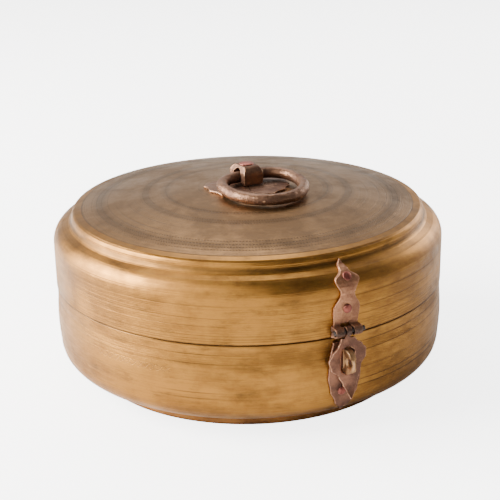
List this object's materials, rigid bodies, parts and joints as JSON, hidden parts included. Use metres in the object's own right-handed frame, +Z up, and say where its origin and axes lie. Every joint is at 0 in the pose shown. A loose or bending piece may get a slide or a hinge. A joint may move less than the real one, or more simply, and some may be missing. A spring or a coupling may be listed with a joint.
{
  "type": "spice box",
  "caption": "Round brass spice box with a domed hinged lid, hasp and staple, ring handle, and loose inner cups with a small spoon.",
  "frame": {"origin": "centre of the footprint on the table, under the middle of the box", "axes": "+Z up, hasp at -Y, hinge at +Y, +X to the right seen from the hasp"},
  "size_m": [0.27, 0.2929, 0.1437],
  "materials": {
    "bowl_brass": "aged brass, turned, satin with dull brown patina",
    "foot_brass": "dark aged brass",
    "inner_brass": "bare brass, dulled",
    "hinge_brass": "filed sheet brass, aged",
    "hasp_metal": "brown patinated sheet brass with worn bright edges",
    "handle_brass": "brown patinated cast brass",
    "staple_brass": "worn bright brass",
    "rivet_copper": "red copper, peened",
    "pin_iron": "rough rusted iron",
    "cup_brass": "spun brass, satin"
  },
  "bodies": {
    "base": {"base_shell": "bowl_brass", "foot_ring": "foot_brass", "inner_collar": "inner_brass", "base_hinge_leaf": "hinge_brass", "hinge_pin": "pin_iron", "base_hinge_rivets": "rivet_copper", "staple_plate": "hasp_metal", "staple_plate_rivet": "rivet_copper", "hasp_staple": "staple_brass"},
    "lid": {"lid_shell": "bowl_brass", "lid_hinge_leaf": "hinge_brass", "lid_hinge_rivets": "rivet_copper", "hasp_upper_plate": "hasp_metal", "hasp_rivets": "rivet_copper", "hasp_pin": "pin_iron", "handle_back_plate": "handle_brass", "handle_saddle": "handle_brass", "handle_rivet": "rivet_copper", "handle_washer": "inner_brass"},
    "hasp": {"hasp_flap": "hasp_metal"},
    "ring": {"handle_ring": "handle_brass"},
    "cup_centre": {"cup_centre": "cup_brass"},
    "cup_1": {"cup_1": "cup_brass"},
    "cup_2": {"cup_2": "cup_brass"},
    "cup_3": {"cup_3": "cup_brass"},
    "cup_4": {"cup_4": "cup_brass"},
    "cup_5": {"cup_5": "cup_brass"},
    "cup_6": {"cup_6": "cup_brass"},
    "spoon": {"spoon": "cup_brass"}
  },
  "joints": [
    {"name": "lid_hinge", "type": "hinge", "parent": "base", "child": "lid", "pos_m": [0, 0.14, 0.0657], "axis": [-1, 0, 0], "range_deg": [0, 170]},
    {"name": "hasp_swing", "type": "hinge", "parent": "lid", "child": "hasp", "pos_m": [0, -0.139, 0.0705], "axis": [-1, 0, 0], "range_deg": [0, 150]},
    {"name": "ring_swing", "type": "hinge", "parent": "lid", "child": "ring", "pos_m": [0, 0, 0.13389], "axis": [-0.9945, -0.1045, 0], "range_deg": [0, 185]},
    {"name": "cup_centre_lift", "type": "slide", "parent": "base", "child": "cup_centre", "axis": [0, 0, 1], "range_m": [0, 0.038]},
    {"name": "cup_1_lift", "type": "slide", "parent": "base", "child": "cup_1", "axis": [0, 0, 1], "range_m": [0, 0.038]},
    {"name": "cup_2_lift", "type": "slide", "parent": "base", "child": "cup_2", "axis": [0, 0, 1], "range_m": [0, 0.038]},
    {"name": "cup_3_lift", "type": "slide", "parent": "base", "child": "cup_3", "axis": [0, 0, 1], "range_m": [0, 0.038]},
    {"name": "cup_4_lift", "type": "slide", "parent": "base", "child": "cup_4", "axis": [0, 0, 1], "range_m": [0, 0.038]},
    {"name": "cup_5_lift", "type": "slide", "parent": "base", "child": "cup_5", "axis": [0, 0, 1], "range_m": [0, 0.038]},
    {"name": "cup_6_lift", "type": "slide", "parent": "base", "child": "cup_6", "axis": [0, 0, 1], "range_m": [0, 0.038]},
    {"name": "spoon_lift", "type": "slide", "parent": "cup_centre", "child": "spoon", "axis": [0, 0, 1], "range_m": [0, 0.01]}
  ]
}
